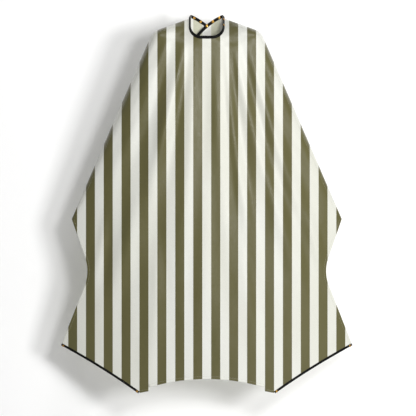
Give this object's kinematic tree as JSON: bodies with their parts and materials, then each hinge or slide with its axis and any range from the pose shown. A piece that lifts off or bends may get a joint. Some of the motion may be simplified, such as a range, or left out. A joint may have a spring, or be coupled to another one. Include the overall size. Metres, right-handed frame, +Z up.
{
  "type": "barber cape",
  "caption": "Striped cloth barber cape with a bound neck opening, two overlapping back flaps on press studs and bound, snap-ended bottom corners.",
  "frame": {"origin": "middle of the neck opening, where the wearer's neck or a hanger's neck passes through", "axes": "+Z up along the neck, -Y the way the wearer faces, +X the wearer's left"},
  "size_m": [1.169, 0.1227, 1.512],
  "materials": {
    "striped_cloth": "satin woven polyester, olive and off-white stripes",
    "black_binding": "matt woven tape",
    "brass_snap": "polished, lacquered",
    "spring_wire": "drawn phosphor bronze wire"
  },
  "bodies": {
    "root": {"front_panel": "striped_cloth", "left_shoulder_fold": "striped_cloth", "right_shoulder_fold": "striped_cloth", "left_shoulder_slope": "striped_cloth", "right_shoulder_slope": "striped_cloth", "left_back_yoke": "striped_cloth", "right_back_yoke": "striped_cloth", "neck_binding": "black_binding", "left_corner_binding": "black_binding", "right_corner_binding": "black_binding", "side_caps": "brass_snap", "side_studs": "brass_snap", "corner_caps": "brass_snap", "corner_studs": "brass_snap", "corner_sockets": "brass_snap"},
    "left_flap": {"left_back_flap": "striped_cloth", "left_neck_binding": "black_binding", "left_flap_caps": "brass_snap", "left_flap_studs": "brass_snap"},
    "right_flap": {"right_back_flap": "striped_cloth", "right_neck_binding": "black_binding", "right_flap_caps": "brass_snap", "right_flap_sockets": "brass_snap", "right_flap_springs": "spring_wire"}
  },
  "joints": [
    {"name": "right_flap_fold", "type": "hinge", "parent": "root", "child": "right_flap", "pos_m": [-0.066, 0.046, 0.044], "axis": [0.5049, 0, 0.8632], "range_deg": [0, 150]},
    {"name": "left_flap_fold", "type": "hinge", "parent": "root", "child": "left_flap", "pos_m": [0.066, 0.046, 0.044], "axis": [0.5049, 0, -0.8632], "range_deg": [0, 70]}
  ],
  "couplings": [
    {"joint": "left_flap_fold", "follows": "right_flap_fold", "ratio": 0.45}
  ]
}
